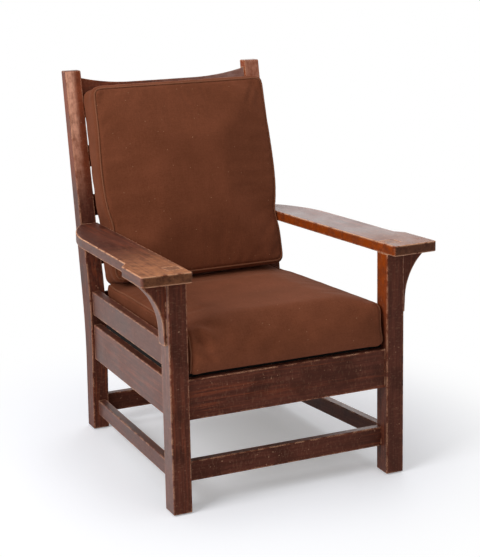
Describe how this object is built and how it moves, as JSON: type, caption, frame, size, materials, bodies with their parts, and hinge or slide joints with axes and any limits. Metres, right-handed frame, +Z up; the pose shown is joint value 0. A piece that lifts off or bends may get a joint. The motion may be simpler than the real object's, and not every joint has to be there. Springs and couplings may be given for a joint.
{
  "type": "mission armchair",
  "caption": "Mission armchair: square posts, flat stepped arms with through tenons and corbels, slatted raked back, loose seat and back cushions.",
  "frame": {"origin": "centre of the bounding box in plan, on the floor under the foot glides", "axes": "+Z up, -Y towards the front of the chair, +X to its right as seen from the front"},
  "size_m": [0.8252, 0.844, 0.998],
  "materials": {
    "wood": "satin stained quarter-sawn oak",
    "frame_wood": "raw",
    "dowel_wood": "raw",
    "webbing": "woven jute",
    "deck_cloth": "matt woven cotton",
    "screw_steel": "zinc plated",
    "glide_plastic": "matt",
    "cushion_cloth": "matt suede-like weave"
  },
  "bodies": {
    "chair_frame": {"front_post_left": "wood", "front_post_right": "wood", "rear_post_left": "wood", "rear_post_right": "wood", "arm_left": "wood", "arm_right": "wood", "corbel_left": "wood", "corbel_right": "wood", "upper_side_rail_left": "wood", "upper_side_rail_right": "wood", "side_apron_left": "wood", "side_apron_right": "wood", "side_stretcher_left": "wood", "side_stretcher_right": "wood", "front_rail": "wood", "rear_rail": "wood", "front_stretcher": "wood", "rear_stretcher": "wood", "crest_rail": "wood", "back_slat_1": "wood", "back_slat_2": "wood", "back_slat_3": "wood", "back_slat_4": "wood", "seat_frame_front": "frame_wood", "seat_frame_rear": "frame_wood", "seat_frame_left": "frame_wood", "seat_frame_right": "frame_wood", "cleat_front": "frame_wood", "cleat_rear": "frame_wood", "cleat_left": "frame_wood", "cleat_right": "frame_wood", "arm_dowels": "dowel_wood", "frame_dowels": "dowel_wood", "seat_webbing": "webbing", "seat_deck_cloth": "deck_cloth", "screws": "screw_steel", "foot_glides": "glide_plastic"},
    "seat_cushion": {"seat_cushion": "cushion_cloth"},
    "back_cushion": {"back_cushion": "cushion_cloth"}
  },
  "joints": [
    {"name": "seat_cushion_lift_out", "type": "slide", "parent": "chair_frame", "child": "seat_cushion", "axis": [0, -0.9983, 0.0576], "range_m": [0, 0.6]},
    {"name": "back_cushion_lift_out", "type": "slide", "parent": "chair_frame", "child": "back_cushion", "axis": [0, 0.2341, 0.9722], "range_m": [0, 0.6]}
  ]
}
